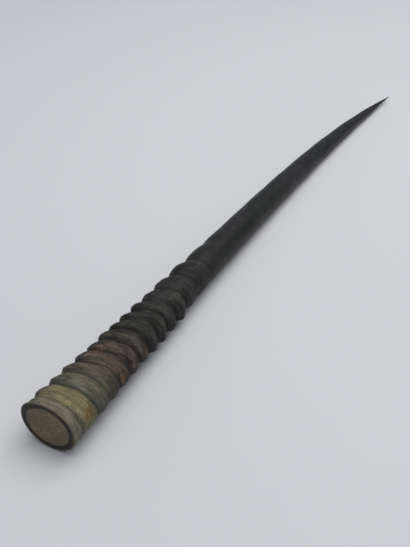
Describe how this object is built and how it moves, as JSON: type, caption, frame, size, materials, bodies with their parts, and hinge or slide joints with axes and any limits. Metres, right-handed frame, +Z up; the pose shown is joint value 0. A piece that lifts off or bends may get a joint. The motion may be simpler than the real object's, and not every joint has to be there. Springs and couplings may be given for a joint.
{
  "type": "gemsbok horn",
  "caption": "Long, slender, nearly straight ringed antelope horn, cut off flat at its base and lying on its side, tapering to a fine point.",
  "frame": {"origin": "on the surface the horn lies on, under the middle of its bounding box", "axes": "+X from the cut base toward the point, +Y toward the horn's front (convex) side, +Z up, which is the horn's outer side"},
  "size_m": [0.8736, 0.0686, 0.0541],
  "materials": {
    "horn_keratin": "satin dark keratin, olive and brown near the base"
  },
  "bodies": {
    "root": {"horn": "horn_keratin"}
  },
  "joints": []
}
